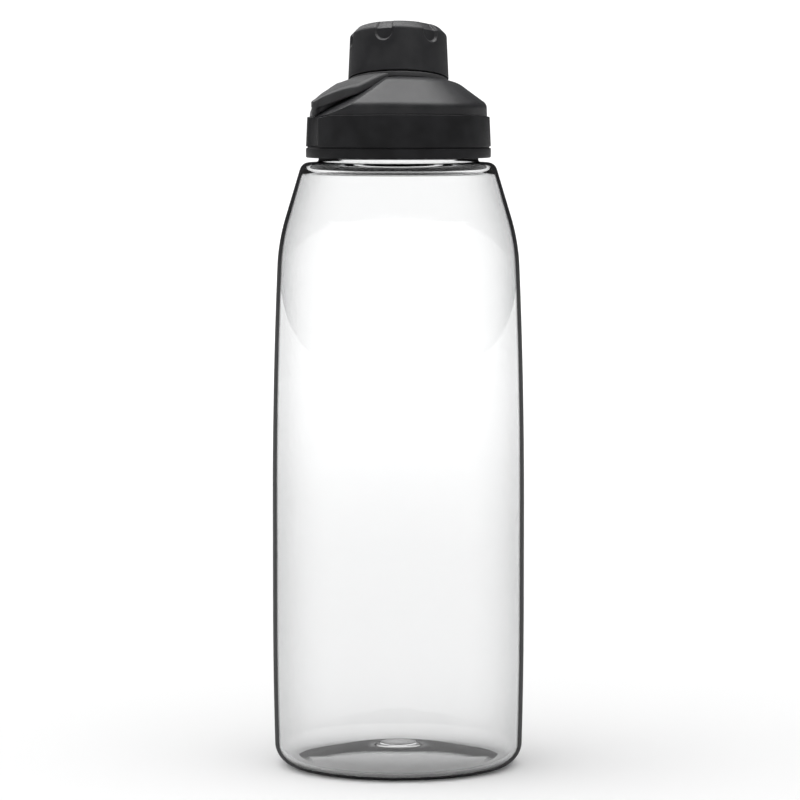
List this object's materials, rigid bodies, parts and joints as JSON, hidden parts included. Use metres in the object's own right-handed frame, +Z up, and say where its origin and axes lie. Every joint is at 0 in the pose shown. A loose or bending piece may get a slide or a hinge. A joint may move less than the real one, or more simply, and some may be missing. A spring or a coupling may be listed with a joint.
{
  "type": "water bottle",
  "caption": "Clear wide-neck drinking bottle with a black screw lid, a leaning spout under a small tethered twist cap.",
  "frame": {"origin": "middle of the base, on the surface that the bottle stands on", "axes": "+Z up along the bottle's axis; the spout leans towards +Y; the tether strap points 20 degrees forward of -X"},
  "size_m": [0.096, 0.096, 0.284],
  "materials": {
    "clear_body": "clear, polished copolyester with a very faint grey tint at the edges",
    "lid_black": "black moulded plastic, fine satin grain",
    "cap_black": "black moulded plastic, satin, slightly lighter than the lid",
    "tether_black": "black soft-touch elastomer",
    "pad_texture": "black elastomer with a fine raised pattern",
    "spout_plastic": "dark grey moulded polypropylene",
    "silicone": "translucent white silicone",
    "magnet": "nickel-plated magnet"
  },
  "bodies": {
    "bottle": {"bottle_body": "clear_body"},
    "lid_slide": {"neck_seal": "silicone"},
    "lid": {"lid_closure": "lid_black", "lid_skirt": "lid_black", "lid_dome": "lid_black", "spout": "spout_plastic", "spout_gasket": "silicone", "tether_strap": "tether_black", "tether_pad": "pad_texture", "tether_anchor": "spout_plastic", "lid_magnet": "magnet", "magnet_clip": "spout_plastic"},
    "tether": {"tether_ring": "tether_black"},
    "cap": {"cap_shell": "cap_black", "cap_liner": "spout_plastic", "cap_seal": "silicone", "cap_magnet": "magnet"}
  },
  "joints": [
    {"name": "lid_lift", "type": "slide", "parent": "bottle", "child": "lid_slide", "axis": [0, 0, 1], "range_m": [0, 0.00834]},
    {"name": "lid_turn", "type": "hinge", "parent": "lid_slide", "child": "lid", "pos_m": [0, 0, 0.238], "axis": [0, 0, 1], "range_deg": [0, 600]},
    {"name": "cap_lift", "type": "slide", "parent": "lid", "child": "tether", "axis": [0, 0.1994, 0.9799], "range_m": [0, 0.00667], "deforming": ["tether_strap", "tether_pad"]},
    {"name": "cap_turn", "type": "hinge", "parent": "tether", "child": "cap", "pos_m": [0, 0, 0.2615], "axis": [0, 0.1994, 0.9799], "range_deg": [0, 600]}
  ],
  "couplings": [
    {"joint": "lid_lift", "follows": "lid_turn", "m_per_rad": 0.00079577},
    {"joint": "cap_lift", "follows": "cap_turn", "m_per_rad": 0.00063662}
  ]
}
